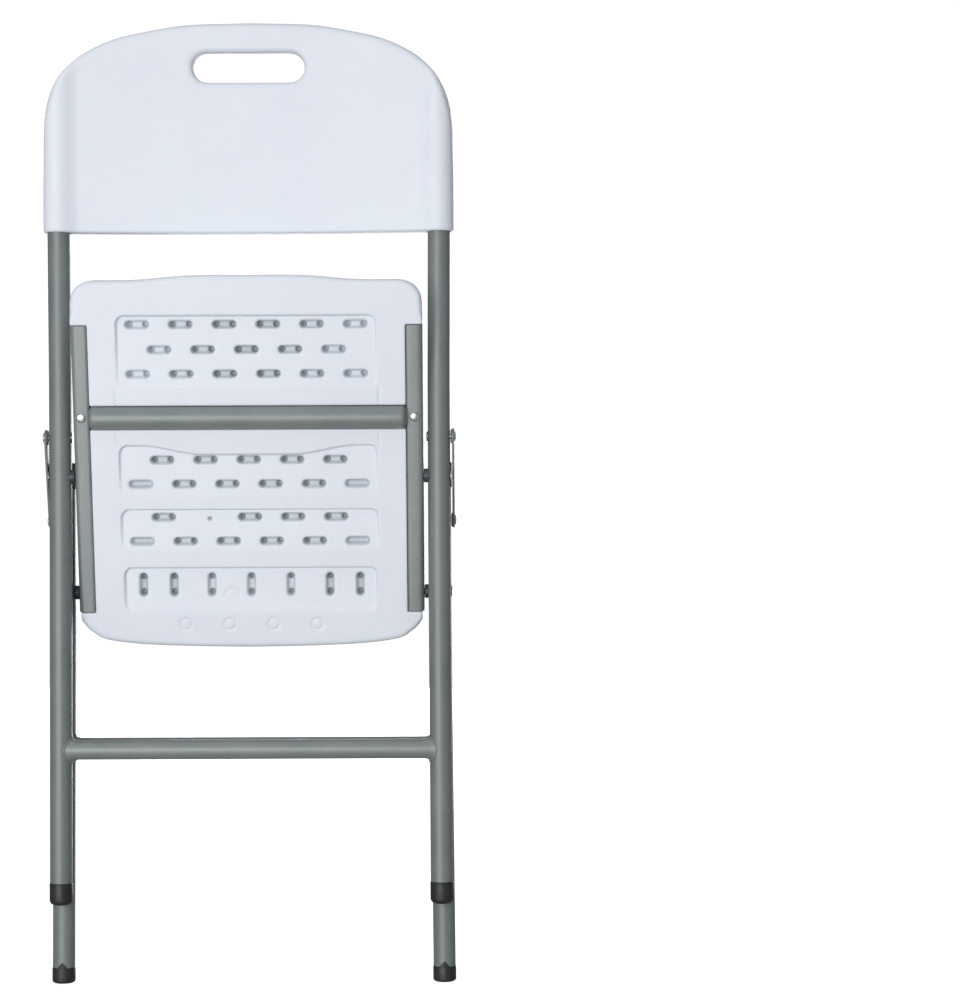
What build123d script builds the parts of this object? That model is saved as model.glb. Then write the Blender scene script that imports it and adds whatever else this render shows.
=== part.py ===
from build123d import *
import os
from math import atan2, cos, degrees, radians, sin

# Folding chair with a tubular steel frame and a blow-moulded seat and back, modelled folded flat and
# standing upright. Millimetres, +Z up, X across the chair, the backrest's front faces -Y.
# Origin: centre of the bounding box in plan, on the plane of the rear feet.

# ---------------------------------------------------------------- driving dimensions
tube_r = 12.0            # frame tube, outside radius
tube_wall = 1.2
front_x = 203.0          # uprights, centre line from the middle plane at the pivots
front_x_top = 204.6      # at the top, inside the backrest
front_x_foot = 204.2
rear_x = 203.5           # rear legs, centre line at the pivots
rear_x_foot = 206.3
leg_offset = 26.0        # rear legs behind the uprights when folded
z_foot_front = 88.5      # underside of the front feet when folded
z_p1 = 547.2             # front seat pivot
z_p2 = 422.2             # rear seat pivot
z_l1 = 589.2             # link to upright
z_l2 = 499.5             # link to rear leg
z_upright_top = 934.0
z_rear_top = 562.5       # top of the rear leg's cap
z_crossbar = 254.3
pin_r = 3.0
hole_r = 3.05            # running fit on the pins
crossbar_r = 10.5
seat_tilt = 10.0         # seat from the vertical when folded
rail_in, rail_out = 168.5, 186.5
rail_z_low, rail_z_high = -12.5, 9.5
rail_y_low, rail_y_high = -147.0, 163.0
seat_top_z, seat_under_z = -15.5, 10.5
cross_tube_r = 12.0
cross_tube_y, cross_tube_z = 64.8, 9.5
plate_x = 217.0          # inner face of the link plates
plate_t = 2.5
foot_body_front = 23.5   # visible height of the feet; a plug goes up inside the tube
foot_body_rear = 16.5
foot_r = 12.5
back_z_low, back_z_high = 808.5, 1035.2
sleeve_r = 15.5

os.makedirs("parts", exist_ok=True)

tilt = radians(seat_tilt)
# Seat frame of reference: local x across, local y towards the seat's front edge, local z out of its underside.
seat_plane = Plane(origin=(0, 0, z_p1), x_dir=(1, 0, 0), z_dir=(0, -cos(tilt), -sin(tilt)))
p2_local = (leg_offset * -sin(tilt) + (z_p2 - z_p1) * cos(tilt), -leg_offset * cos(tilt) - (z_p2 - z_p1) * sin(tilt))


def seat_world(x, y, z):
    """World position of a point given in the seat's frame of reference."""
    return seat_plane.from_local_coords(Vector(x, y, z))


def keep(part, name):
    part.label = name
    export_step(part, "parts/" + name + ".step")


# ---------------------------------------------------------------- frame tubes
front_pts = [(front_x_foot, 0, z_foot_front + foot_body_front), (front_x, 0, 470), (front_x, 0, 650), (front_x_top, 0, z_upright_top)]
rear_pts = [(rear_x_foot, leg_offset, foot_body_rear + 0.08), (rear_x, leg_offset, 385), (rear_x, leg_offset, z_rear_top - 3)]


def along(a, b):
    return Vector(*b) - Vector(*a)


front_start = Plane(origin=front_pts[0], z_dir=along(front_pts[0], front_pts[1]))
rear_start = Plane(origin=rear_pts[0], z_dir=along(rear_pts[0], rear_pts[1]))
front_end = Plane(origin=front_pts[3], z_dir=along(front_pts[2], front_pts[3]))

with BuildLine() as front_path:
    FilletPolyline(*front_pts, radius=2500)
with BuildLine() as rear_path:
    FilletPolyline(*rear_pts, radius=2500)

with BuildPart() as front_solid:
    with BuildSketch(front_start):
        Circle(tube_r)
    sweep(path=front_path.line)
with BuildPart() as rear_solid:
    with BuildSketch(rear_start):
        Circle(tube_r)
    sweep(path=rear_path.line)


def x_hole(radius, y, z):
    """Sketch plane and circle for a hole along X through the right-hand side."""
    with BuildSketch(Plane(origin=(150, y, z), x_dir=(0, 1, 0), z_dir=(1, 0, 0))) as s:
        Circle(radius)
    return s


with BuildPart() as upright_right:
    with BuildSketch(front_start):
        Circle(tube_r)
        Circle(tube_r - tube_wall, mode=Mode.SUBTRACT)
    sweep(path=front_path.line)
    for z in (z_p1, z_l1):
        with BuildSketch(Plane(origin=(150, 0, z), x_dir=(0, 1, 0), z_dir=(1, 0, 0))):
            Circle(hole_r)
        extrude(amount=100, mode=Mode.SUBTRACT)
    # pilot hole for the screw that holds the backrest
    with BuildSketch(Plane(origin=(204.3, 0, 829), x_dir=(1, 0, 0), z_dir=(0, 1, 0))):
        Circle(1.9)
    extrude(amount=30, mode=Mode.SUBTRACT)
keep(upright_right.part, "upright_right")
with BuildPart() as upright_left:
    mirror(upright_right.part, about=Plane.YZ)
keep(upright_left.part, "upright_left")

with BuildPart() as rear_leg_right:
    with BuildSketch(rear_start):
        Circle(tube_r)
        Circle(tube_r - tube_wall, mode=Mode.SUBTRACT)
    sweep(path=rear_path.line)
    for z in (z_p2, z_l2):
        with BuildSketch(Plane(origin=(150, leg_offset, z), x_dir=(0, 1, 0), z_dir=(1, 0, 0))):
            Circle(hole_r)
        extrude(amount=100, mode=Mode.SUBTRACT)
keep(rear_leg_right.part, "rear_leg_right")
with BuildPart() as rear_leg_left:
    mirror(rear_leg_right.part, about=Plane.YZ)
keep(rear_leg_left.part, "rear_leg_left")


def crossbar(y, solid):
    """Cross tube coped to the two side tubes, with its ends opened out for the weld."""
    with BuildPart() as bar:
        with BuildSketch(Plane(origin=(-203, y, z_crossbar), z_dir=(1, 0, 0))):
            Circle(crossbar_r)
        extrude(amount=406)
        for side in (-1, 1):
            with BuildSketch(Plane(origin=(side * 185.5, y, z_crossbar), z_dir=(side, 0, 0))):
                Circle(crossbar_r)
            with BuildSketch(Plane(origin=(side * 196.5, y, z_crossbar), x_dir=(0, 1, 0), z_dir=(side, 0, 0))):
                Ellipse(10.9, 14.5)
            loft()
        with BuildSketch(Plane(origin=(-203, y, z_crossbar), z_dir=(1, 0, 0))):
            Circle(crossbar_r - 1.2)
        extrude(amount=406, mode=Mode.SUBTRACT)
        add(solid, mode=Mode.SUBTRACT)
        mirror(solid, about=Plane.YZ, mode=Mode.SUBTRACT)
    middle = bar.part.solids().sort_by(lambda s: -s.volume)[0]
    with BuildPart() as clean:
        add(middle)
    return clean.part


front_crossbar = crossbar(0, front_solid.part)
keep(front_crossbar, "front_crossbar")
rear_crossbar = crossbar(leg_offset, rear_solid.part)
keep(rear_crossbar, "rear_crossbar")

# ---------------------------------------------------------------- feet and caps


def foot(start, height, rounding, name):
    """Moulded foot: a body as wide as the tube below the tube's end, and a ribbed plug pushed up inside the tube."""
    with BuildPart() as f:
        with BuildSketch(Plane(origin=start.origin - start.z_dir * height, z_dir=start.z_dir)):
            Circle(foot_r)
        extrude(amount=height)
        fillet(f.edges().group_by(Axis.Z)[0], radius=rounding)
        with BuildSketch(start):
            Circle(tube_r - tube_wall - 0.6)
        extrude(amount=16)
        for h in (3, 7, 11):
            with BuildSketch(Plane(origin=start.origin + start.z_dir * h, z_dir=start.z_dir)):
                Circle(tube_r - tube_wall)
            extrude(amount=1.4)
        with BuildSketch(start):
            Circle(tube_r - tube_wall - 2.6)
        extrude(amount=16, mode=Mode.SUBTRACT)
    keep(f.part, name + "_right")
    with BuildPart() as g:
        mirror(f.part, about=Plane.YZ)
    keep(g.part, name + "_left")


foot(front_start, foot_body_front, 5.5, "front_foot")
foot(rear_start, foot_body_rear, 3.0, "rear_foot")

with BuildPart() as rear_cap_right:
    with BuildSketch(Plane(origin=(rear_x, leg_offset, z_rear_top - 28), z_dir=(0, 0, 1))):
        Circle(13.0)
    extrude(amount=28)
    fillet(rear_cap_right.edges().group_by(Axis.Z)[-1], radius=4.0)
    add(rear_solid.part, mode=Mode.SUBTRACT)
keep(rear_cap_right.part, "rear_leg_cap_right")
with BuildPart() as rear_cap_left:
    mirror(rear_cap_right.part, about=Plane.YZ)
keep(rear_cap_left.part, "rear_leg_cap_left")

# ---------------------------------------------------------------- backrest
with BuildPart() as backrest:
    with BuildSketch(Plane.XZ) as back_outline:
        with BuildLine():
            top = Spline(
                (0, 1035.2), (64, 1033.2), (107.5, 1026.3), (145.8, 1016.6), (177.6, 1000.6), (196.3, 983.4),
                (207.2, 966.2), (214.6, 947), (218.6, 931), (220, 915),
                tangents=((1, 0), (0, -1)),
            )
            Line((220, 915), (220, back_z_low + 5))
            RadiusArc((220, back_z_low + 5), (215, back_z_low), 5)
            Line((215, back_z_low), (0, back_z_low))
            Line((0, back_z_low), (0, 1035.2))
        make_face()
        mirror(about=Plane.YZ)
    extrude(amount=40, both=True)
    with BuildSketch(Plane.XY.offset(800)):
        with BuildLine():
            ThreePointArc((-196, -10), (0, 2), (196, -10))
            Line((196, -10), (196, 10))
            ThreePointArc((196, 10), (0, 23), (-196, 10))
            Line((-196, 10), (-196, -10))
        make_face()
        with Locations((204.5, 0), (-204.5, 0)):
            Circle(sleeve_r)
    extrude(amount=250, mode=Mode.INTERSECT)
    fillet(backrest.edges().filter_by(lambda e: e.center().Z > 1030 and e.length > 60), radius=5)
    # hand hold, right through
    with BuildSketch(Plane.XZ.offset(-60)):
        with Locations((0, 987)):
            SlotOverall(120, 32)
    extrude(amount=120, mode=Mode.SUBTRACT)
backrest_shell = backrest.part

# air space of the backrest: the same outline and section, a wall's thickness in, clear of the hand hold
with BuildPart() as back_air:
    with BuildSketch(Plane.XZ):
        with BuildLine():
            Spline((0, 1026), (64, 1024), (107, 1017), (145, 1006), (172, 990), (180, 975), tangents=((1, 0), (0, -1)))
            Line((180, 975), (180, 819))
            Line((180, 819), (0, 819))
            Line((0, 819), (0, 1026))
        make_face()
        mirror(about=Plane.YZ)
        with Locations((0, 987)):
            SlotOverall(130, 42, mode=Mode.SUBTRACT)
    extrude(amount=40, both=True)
    with BuildSketch(Plane.XY.offset(800)):
        with BuildLine():
            ThreePointArc((-190, -6), (0, 5), (190, -6))
            Line((190, -6), (190, 6))
            ThreePointArc((190, 6), (0, 20), (-190, 6))
            Line((-190, 6), (-190, -6))
        make_face()
    extrude(amount=250, mode=Mode.INTERSECT)
print("backrest solid", backrest_shell.volume)

with BuildPart() as backrest_full:
    add(backrest_shell)
    add(back_air.part, mode=Mode.SUBTRACT)
    # sockets for the two uprights
    for side in (-1, 1):
        with BuildSketch(Plane(origin=(side * 204.6, 0, z_upright_top + 1), x_dir=(1, 0, 0), z_dir=(side * -0.0056, 0, -1))):
            Circle(tube_r + 0.15)
        extrude(amount=150, mode=Mode.SUBTRACT)
        # screw hole through the sleeve's rear wall
        with BuildSketch(Plane(origin=(side * 204.3, 0, 829), x_dir=(1, 0, 0), z_dir=(0, 1, 0))):
            Circle(2.2)
        extrude(amount=40, mode=Mode.SUBTRACT)
keep(backrest_full.part, "backrest")

with BuildPart() as backrest_screws:
    for side in (-1, 1):
        with BuildSketch(Plane(origin=(side * 204.3, 9, 829), x_dir=(1, 0, 0), z_dir=(0, 1, 0))):
            Circle(1.85)
        extrude(amount=7)
        with BuildSketch(Plane(origin=(side * 204.3, 15.6, 829), x_dir=(1, 0, 0), z_dir=(0, 1, 0))):
            Circle(4.2)
        extrude(amount=2.4, taper=22)
keep(backrest_screws.part, "backrest_screws")

# ---------------------------------------------------------------- seat
half = [(186.3, 192.0), (186.3, 165.0), (168.2, 165.0), (168.2, -148.5), (184.3, -148.5), (184.3, -156.0)]
with BuildPart() as seat_panel:
    with BuildSketch(seat_plane.offset(seat_top_z)):
        with BuildLine():
            Spline((0, 215.4), (70, 215.0), (112, 211.0), (168, 210.6), tangents=((1, 0), (1, 0)))
            Spline((168, 210.6), (180.8, 205.0), (186.3, 192.0), tangents=((1, 0), (0, -1)))
            Polyline(*half)
            Spline((184.3, -156), (172.5, -169), (158.0, -177.6), (119.5, -183.0), (60, -185.6), (0, -186.6),
                   tangents=((0, -1), (-1, 0)))
            Line((0, -186.6), (0, 215.4))
        make_face()
        mirror(about=Plane.YZ)
    extrude(amount=seat_under_z - seat_top_z)
    flat_edges = seat_panel.edges().filter_by(lambda e: abs(seat_plane.to_local_coords(e.center()).Y) > 166 or
                                              abs(seat_plane.to_local_coords(e.center()).Y + 170) < 20)
    # shallow fields of the underside, between the ribs
    with BuildSketch(seat_plane.offset(seat_under_z)):
        with Locations((0, 114.5)):
            RectangleRounded(280, 119, 9)
        with Locations((0, -1.0)):
            RectangleRounded(280, 55, 9)
        with Locations((0, -58.5)):
            RectangleRounded(280, 47, 9)
        with Locations((0, -120.6)):
            RectangleRounded(276, 45, 9)
    extrude(amount=-2.5, mode=Mode.SUBTRACT)
    # kiss-offs, where the two walls of the hollow moulding meet
    with BuildSketch(seat_plane.offset(seat_under_z)):
        for y in (163.9, 111.4):
            with Locations(*[(x * 46.3, y) for x in (-2.5, -1.5, -0.5, 0.5, 1.5, 2.5)]):
                SlotOverall(26, 9)
        for y in (137.2, 19.0):
            with Locations(*[(x * 46.3, y) for x in (-2, -1, 0, 1, 2)]):
                SlotOverall(26, 9)
        with Locations(*[(x * 46.3, -43.3) for x in (-2, 0, 1, 2)]):
            SlotOverall(26, 9)
        with Locations((-41.5, -43.3)):
            Circle(2.2)
        for y in (-6.9, -69.2):
            with Locations(*[(x * 46.3, y) for x in (-2.5, -1.5, -0.5, 0.5, 1.5, 2.5)]):
                SlotOverall(26, 9)
        with Locations(*[(x, -117.3) for x in (-116, -83, -42, 0, 42, 83, 116)]):
            SlotOverall(26, 9, rotation=90)
    extrude(amount=-9, mode=Mode.SUBTRACT)
    # air space of the hollow moulding: two sealed chambers, one each side of the cross tube's groove,
    # with a solid column round every kiss-off
    with BuildSketch(seat_plane.offset(-12.5)):
        with Locations((0, 143.5)):
            RectangleRounded(318, 117, 8)
        with Locations((0, -65.0)):
            RectangleRounded(318, 226, 8)
        for y in (163.9, 111.4, -6.9, -69.2):
            with Locations(*[(x * 46.3, y) for x in (-2.5, -1.5, -0.5, 0.5, 1.5, 2.5)]):
                SlotOverall(32, 15, mode=Mode.SUBTRACT)
        for y in (137.2, 19.0, -43.3):
            with Locations(*[(x * 46.3, y) for x in (-2, -1, 0, 1, 2)]):
                SlotOverall(32, 15, mode=Mode.SUBTRACT)
        with Locations(*[(x, -117.3) for x in (-116, -83, -42, 0, 42, 83, 116)]):
            SlotOverall(32, 15, rotation=90, mode=Mode.SUBTRACT)
    extrude(amount=17, mode=Mode.SUBTRACT)
    # groove for the cross tube, and pockets beside the pivots for the rivets' inner heads
    with BuildSketch(Plane(origin=seat_world(-190, cross_tube_y, cross_tube_z), z_dir=(1, 0, 0))):
        Circle(cross_tube_r + 0.3)
    extrude(amount=380, mode=Mode.SUBTRACT)
    for side in (-1, 1):
        for yz in ((0.0, z_p1), (leg_offset, z_p2)):
            with BuildSketch(Plane(origin=(side * 163.5, yz[0], yz[1]), z_dir=(side, 0, 0))):
                Circle(7.5)
            extrude(amount=8, mode=Mode.SUBTRACT)
    # short groove in the top face at the rear edge
    with BuildSketch(seat_plane.offset(seat_top_z)):
        with Locations((0, -158)):
            SlotOverall(42, 11, rotation=90)
    extrude(amount=2, mode=Mode.SUBTRACT)
print("seat solids", len(seat_panel.part.solids()), seat_panel.part.volume)
keep(seat_panel.part, "seat_panel")

with BuildPart() as rail_right:
    with BuildSketch(Plane(origin=seat_world(0, rail_y_low, 0), x_dir=(1, 0, 0), z_dir=seat_plane.y_dir)):
        # local second axis of this plane runs against the seat's local z
        with Locations(((rail_in + rail_out) / 2, -(rail_z_low + rail_z_high) / 2)):
            RectangleRounded(rail_out - rail_in, rail_z_high - rail_z_low, 5)
            RectangleRounded(rail_out - rail_in - 3, rail_z_high - rail_z_low - 3, 3.5, mode=Mode.SUBTRACT)
    extrude(amount=rail_y_high - rail_y_low)
    for y, z in ((0, z_p1), (leg_offset, z_p2)):
        with BuildSketch(Plane(origin=(150, y, z), x_dir=(0, 1, 0), z_dir=(1, 0, 0))):
            Circle(hole_r)
        extrude(amount=60, mode=Mode.SUBTRACT)
    # slot for the cross tube's tongue, and its rivet hole
    with BuildSketch(seat_plane.offset(4.8)):
        with Locations((rail_in, cross_tube_y)):
            Rectangle(6, 16.4)
    extrude(amount=3.0, mode=Mode.SUBTRACT)
    with BuildSketch(seat_plane.offset(2)):
        with Locations((177.5, cross_tube_y)):
            Circle(2.5)
    extrude(amount=12, mode=Mode.SUBTRACT)
keep(rail_right.part, "seat_rail_right")
with BuildPart() as rail_left:
    mirror(rail_right.part, about=Plane.YZ)
keep(rail_left.part, "seat_rail_left")

with BuildPart() as seat_cross_tube:
    with BuildSketch(Plane(origin=seat_world(-168.3, cross_tube_y, cross_tube_z), z_dir=(1, 0, 0))):
        Circle(cross_tube_r)
    extrude(amount=336.6)
    with BuildSketch(Plane(origin=seat_world(-150, cross_tube_y, cross_tube_z), z_dir=(1, 0, 0))):
        Circle(cross_tube_r - 1.2)
    extrude(amount=300, mode=Mode.SUBTRACT)
    # flattened tongues that enter the rails
    with BuildSketch(seat_plane.offset(5.0)):
        with Locations((0, cross_tube_y)):
            Rectangle(363, 16)
            Rectangle(310, 40, mode=Mode.SUBTRACT)
    extrude(amount=2.6)
    with BuildSketch(seat_plane.offset(2)):
        with Locations((177.5, cross_tube_y), (-177.5, cross_tube_y)):
            Circle(2.5)
    extrude(amount=8, mode=Mode.SUBTRACT)
keep(seat_cross_tube.part, "seat_cross_tube")

with BuildPart() as cross_tube_rivets:
    for side in (-1, 1):
        with BuildSketch(seat_plane.offset(3.4)):
            with Locations((side * 177.5, cross_tube_y)):
                Circle(3.8)
        extrude(amount=1.6)
        with BuildSketch(seat_plane.offset(5.0)):
            with Locations((side * 177.5, cross_tube_y)):
                Circle(2.5)
        extrude(amount=rail_z_high - 5.0)
        with BuildSketch(seat_plane.offset(rail_z_high)):
            with Locations((side * 177.5, cross_tube_y)):
                Circle(5.0)
        extrude(amount=2.0, taper=35)
keep(cross_tube_rivets.part, "cross_tube_rivets")

# ---------------------------------------------------------------- pivots


def rivet_pair(name, y, z, x0, x1, head_in, head_out, head_r):
    """Two rivets along X, one each side: shank from x0 to x1, a head at each end."""
    with BuildPart() as r:
        with BuildSketch(Plane(origin=(x0, y, z), z_dir=(1, 0, 0))):
            Circle(pin_r)
        extrude(amount=x1 - x0)
        if head_in:
            with BuildSketch(Plane(origin=(x0 - head_in, y, z), z_dir=(1, 0, 0))):
                Circle(head_r)
            extrude(amount=head_in)
        with BuildSketch(Plane(origin=(x1, y, z), z_dir=(1, 0, 0))):
            Circle(head_r)
        extrude(amount=head_out)
        chamfer(r.faces().sort_by(Axis.X)[-1].edges(), length=0.5)
    with BuildPart() as pair:
        add(r.part)
        mirror(r.part, about=Plane.YZ)
    keep(pair.part, name)


def spacer_pair(name, y, z, tube):
    """Saddle spacers between the seat rails and the side tubes."""
    with BuildPart() as s:
        with BuildSketch(Plane(origin=(rail_out + 0.3, y, z), z_dir=(1, 0, 0))):
            Circle(7.5)
            Circle(hole_r, mode=Mode.SUBTRACT)
        extrude(amount=8)
        add(tube, mode=Mode.SUBTRACT)
    with BuildPart() as pair:
        add(s.part.solids().sort_by(Axis.X)[0])
        mirror(s.part.solids().sort_by(Axis.X)[0], about=Plane.YZ)
    keep(pair.part, name)


spacer_pair("front_pivot_spacers", 0, z_p1, front_solid.part)
spacer_pair("rear_pivot_spacers", leg_offset, z_p2, rear_solid.part)
rivet_pair("front_pivot_rivets", 0, z_p1, rail_in - 0.4, front_x + tube_r, 2.0, 1.6, 6.0)
rivet_pair("rear_pivot_rivets", leg_offset, z_p2, rail_in - 0.4, rear_x + tube_r, 2.0, 1.6, 6.0)
rivet_pair("link_upper_rivets", 0, z_l1, front_x - tube_r, plate_x + plate_t + 0.15, 1.8, 2.2, 5.5)
# The lower rivet is fixed in the link and ends just short of the rear leg: this is the pivot where the loop is opened.
rivet_pair("link_lower_rivets", leg_offset, z_l2, plate_x, plate_x + plate_t, 0, 2.2, 5.5)

# ---------------------------------------------------------------- link plates
link_len = ((z_l1 - z_l2) ** 2 + leg_offset**2) ** 0.5
link_dir = Vector(0, leg_offset, z_l2 - z_l1).normalized()
link_mid = Vector(plate_x, leg_offset / 2, (z_l1 + z_l2) / 2)
with BuildPart() as link_right:
    with BuildSketch(Plane(origin=link_mid, x_dir=link_dir, z_dir=(1, 0, 0))):
        SlotCenterToCenter(link_len, 17)
        with Locations((-link_len / 2, 0)):
            Circle(hole_r, mode=Mode.SUBTRACT)
        with Locations((link_len / 2, 0)):
            Circle(pin_r, mode=Mode.SUBTRACT)
    extrude(amount=plate_t)
    chamfer(link_right.faces().sort_by(Axis.X)[-1].outer_wire().edges(), length=0.6)
keep(link_right.part, "link_plate_right")
with BuildPart() as link_left:
    mirror(link_right.part, about=Plane.YZ)
keep(link_left.part, "link_plate_left")
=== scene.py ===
import math

import bmesh
import bpy
import numpy as np
from mathutils import Euler, Matrix, Vector


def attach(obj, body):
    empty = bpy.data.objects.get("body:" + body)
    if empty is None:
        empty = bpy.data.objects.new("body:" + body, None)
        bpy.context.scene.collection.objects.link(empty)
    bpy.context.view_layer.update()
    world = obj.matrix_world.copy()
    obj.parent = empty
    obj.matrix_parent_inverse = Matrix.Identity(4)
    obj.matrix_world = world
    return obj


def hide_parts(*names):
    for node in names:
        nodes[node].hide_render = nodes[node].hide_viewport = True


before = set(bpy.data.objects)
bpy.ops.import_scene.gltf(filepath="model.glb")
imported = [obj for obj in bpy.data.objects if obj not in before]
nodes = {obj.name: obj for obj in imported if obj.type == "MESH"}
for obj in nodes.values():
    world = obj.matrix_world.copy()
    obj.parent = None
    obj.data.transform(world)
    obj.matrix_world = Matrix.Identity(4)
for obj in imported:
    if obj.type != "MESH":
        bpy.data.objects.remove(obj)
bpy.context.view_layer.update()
scene = bpy.context.scene

MM = 0.001


# =====================================================================================================
# materials
# =====================================================================================================
def srgb(r, g, b):
    def one(c):
        c /= 255.0
        return c / 12.92 if c <= 0.04045 else ((c + 0.055) / 1.055) ** 2.4

    return (one(r), one(g), one(b), 1.0)


class Mat:
    """Small helper to write a node tree top-down."""

    def __init__(self, name):
        self.m = bpy.data.materials.new(name)
        self.m.use_nodes = True
        self.t = self.m.node_tree
        self.t.nodes.clear()
        self.out = self.n("ShaderNodeOutputMaterial")
        self.bsdf = self.n("ShaderNodeBsdfPrincipled")
        self.link(self.bsdf, "BSDF", self.out, "Surface")
        self.geo = self.n("ShaderNodeTexCoord")

    def n(self, kind, **props):
        node = self.t.nodes.new(kind)
        for k, v in props.items():
            setattr(node, k, v)
        return node

    def link(self, a, ao, b, bi):
        self.t.links.new(a.outputs[ao], b.inputs[bi])

    def noise(self, scale, detail=2.0, rough=0.5, vec=None):
        node = self.n("ShaderNodeTexNoise")
        node.inputs["Scale"].default_value = scale
        node.inputs["Detail"].default_value = detail
        node.inputs["Roughness"].default_value = rough
        if vec is None:
            self.link(self.geo, "Object", node, "Vector")
        else:
            self.link(vec[0], vec[1], node, "Vector")
        return node

    def stretch(self, sx, sy, sz):
        node = self.n("ShaderNodeMapping")
        node.inputs["Scale"].default_value = (sx, sy, sz)
        self.link(self.geo, "Object", node, "Vector")
        return (node, "Vector")

    def ramp(self, src, so, stops):
        node = self.n("ShaderNodeValToRGB")
        el = node.color_ramp.elements
        while len(el) > len(stops):
            el.remove(el[-1])
        while len(el) < len(stops):
            el.new(0.5)
        for e, (p, c) in zip(el, stops):
            e.position = p
            e.color = c if len(c) == 4 else (*c, 1.0)
        self.link(src, so, node, "Fac")
        return node

    def maprange(self, src, so, a, b, c, d):
        node = self.n("ShaderNodeMapRange")
        for k, v in zip(("From Min", "From Max", "To Min", "To Max"), (a, b, c, d)):
            node.inputs[k].default_value = v
        self.link(src, so, node, "Value")
        return node

    def mix(self, fac, a, b, mode="MIX"):
        node = self.n("ShaderNodeMix")
        node.data_type = "RGBA"
        node.blend_type = mode
        if isinstance(fac, (int, float)):
            node.inputs[0].default_value = fac
        else:
            self.link(fac[0], fac[1], node, 0)
        for sock, v in ((6, a), (7, b)):
            if isinstance(v[0], bpy.types.Node):
                self.link(v[0], v[1], node, sock)
            else:
                node.inputs[sock].default_value = v
        return (node, 2)

    def bump(self, src, so, dist, strength=1.0, normal=None):
        node = self.n("ShaderNodeBump")
        node.inputs["Distance"].default_value = dist
        node.inputs["Strength"].default_value = strength
        self.link(src, so, node, "Height")
        if normal is not None:
            self.link(normal, "Normal", node, "Normal")
        return node

    def out_color(self, src):
        self.link(src[0], src[1], self.bsdf, "Base Color")

    def set(self, **kw):
        for k, v in kw.items():
            self.bsdf.inputs[k.replace("_", " ")].default_value = v


def plastic_material():
    """Pale blue-white polyethylene: blasted-mould grain, faint wall-thickness mottling, and painted shade darkening the
    inside of the kiss-off recesses.
    """
    m = Mat("polyethylene_pale")
    big = m.noise(7.0, 3.0, 0.55)
    mid = m.noise(42.0, 3.0, 0.6)
    tone = m.ramp(big, "Fac", [(0.30, srgb(218, 223, 233)), (0.55, srgb(221, 226, 235)), (0.75, srgb(222, 228, 235))])
    fine = m.ramp(mid, "Fac", [(0.35, (0.985, 0.987, 0.99)), (0.65, (1.0, 1.0, 1.0))])
    base = m.mix(1.0, (tone, "Color"), (fine, "Color"), "MULTIPLY")
    # painted shade: the per-vertex kiss-off weight mixes the base colour towards grey (164, 173, 176) inside the seat's
    # kiss-offs
    kissoff_shade_attr = m.n("ShaderNodeAttribute")
    kissoff_shade_attr.attribute_name = "kissoff_painted_shade"
    shade = m.mix((kissoff_shade_attr, "Fac"), base, srgb(164, 173, 176))
    m.out_color(shade)
    grain = m.noise(1500.0, 2.0, 0.6)
    leather = m.n("ShaderNodeTexVoronoi")
    leather.inputs["Scale"].default_value = 620.0
    m.link(m.geo, "Object", leather, "Vector")
    b1 = m.bump(leather, "Distance", 0.00012, 0.30)
    b2 = m.bump(grain, "Fac", 0.00008, 0.45, b1)
    wav = m.noise(18.0, 2.0, 0.5)
    b3 = m.bump(wav, "Fac", 0.0010, 0.16, b2)
    m.link(b3, "Normal", m.bsdf, "Normal")
    rr = m.maprange(mid, "Fac", 0.3, 0.7, 0.46, 0.54)
    m.link(rr, "Result", m.bsdf, "Roughness")
    m.set(Subsurface_Weight=0.10, Subsurface_Scale=0.003, IOR=1.5)
    m.bsdf.inputs["Subsurface Radius"].default_value = (1.0, 0.9, 0.8)
    return m.m


def steel_material(name="powder_coat_grey", lift=0):
    """Silver-grey powder coat: fine metallic speckle, orange-peel skin, slight tone drift, small pale rub marks along
    the tubes. A positive lift gives a lighter copy of the same coat, which is painted light.
    """
    m = Mat(name)
    slow = m.noise(14.0, 3.0, 0.55)
    tone = m.ramp(slow, "Fac", [(0.3, srgb(115 + lift, 122 + lift, 122 + lift)), (0.7, srgb(126 + lift, 133 + lift, 132 + lift))])
    speck = m.noise(1100.0, 3.0, 0.7)
    sp = m.ramp(speck, "Fac", [(0.42, (0.90, 0.90, 0.90)), (0.62, (1.05, 1.05, 1.05))])
    col = m.mix(1.0, (tone, "Color"), (sp, "Color"), "MULTIPLY")
    streak = m.noise(70.0, 4.0, 0.7, m.stretch(1.0, 1.0, 0.1))
    rub = m.ramp(streak, "Fac", [(0.70, (0, 0, 0)), (0.80, (0.7, 0.7, 0.7))])
    col2 = m.mix((rub, "Color"), col, srgb(160, 166, 164))
    m.out_color(col2)
    peel = m.noise(420.0, 2.0, 0.45)
    b1 = m.bump(peel, "Fac", 0.00010, 0.35)
    b2 = m.bump(speck, "Fac", 0.00004, 0.4, b1)
    m.link(b2, "Normal", m.bsdf, "Normal")
    rr = m.maprange(slow, "Fac", 0.3, 0.7, 0.46, 0.54)
    m.link(rr, "Result", m.bsdf, "Roughness")
    m.set(Metallic=0.30, IOR=1.45, Coat_Weight=0.08, Coat_Roughness=0.4)
    return m.m


def dark_material():
    m = Mat("moulded_plastic_dark")
    slow = m.noise(60.0, 3.0, 0.6)
    tone = m.ramp(slow, "Fac", [(0.3, srgb(20, 23, 26)), (0.7, srgb(31, 34, 37))])
    m.out_color((tone, "Color"))
    grain = m.noise(1300.0, 2.0, 0.6)
    b = m.bump(grain, "Fac", 0.00008, 0.5)
    m.link(b, "Normal", m.bsdf, "Normal")
    rr = m.maprange(slow, "Fac", 0.3, 0.7, 0.42, 0.58)
    m.link(rr, "Result", m.bsdf, "Roughness")
    m.set(IOR=1.5)
    return m.m


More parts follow.
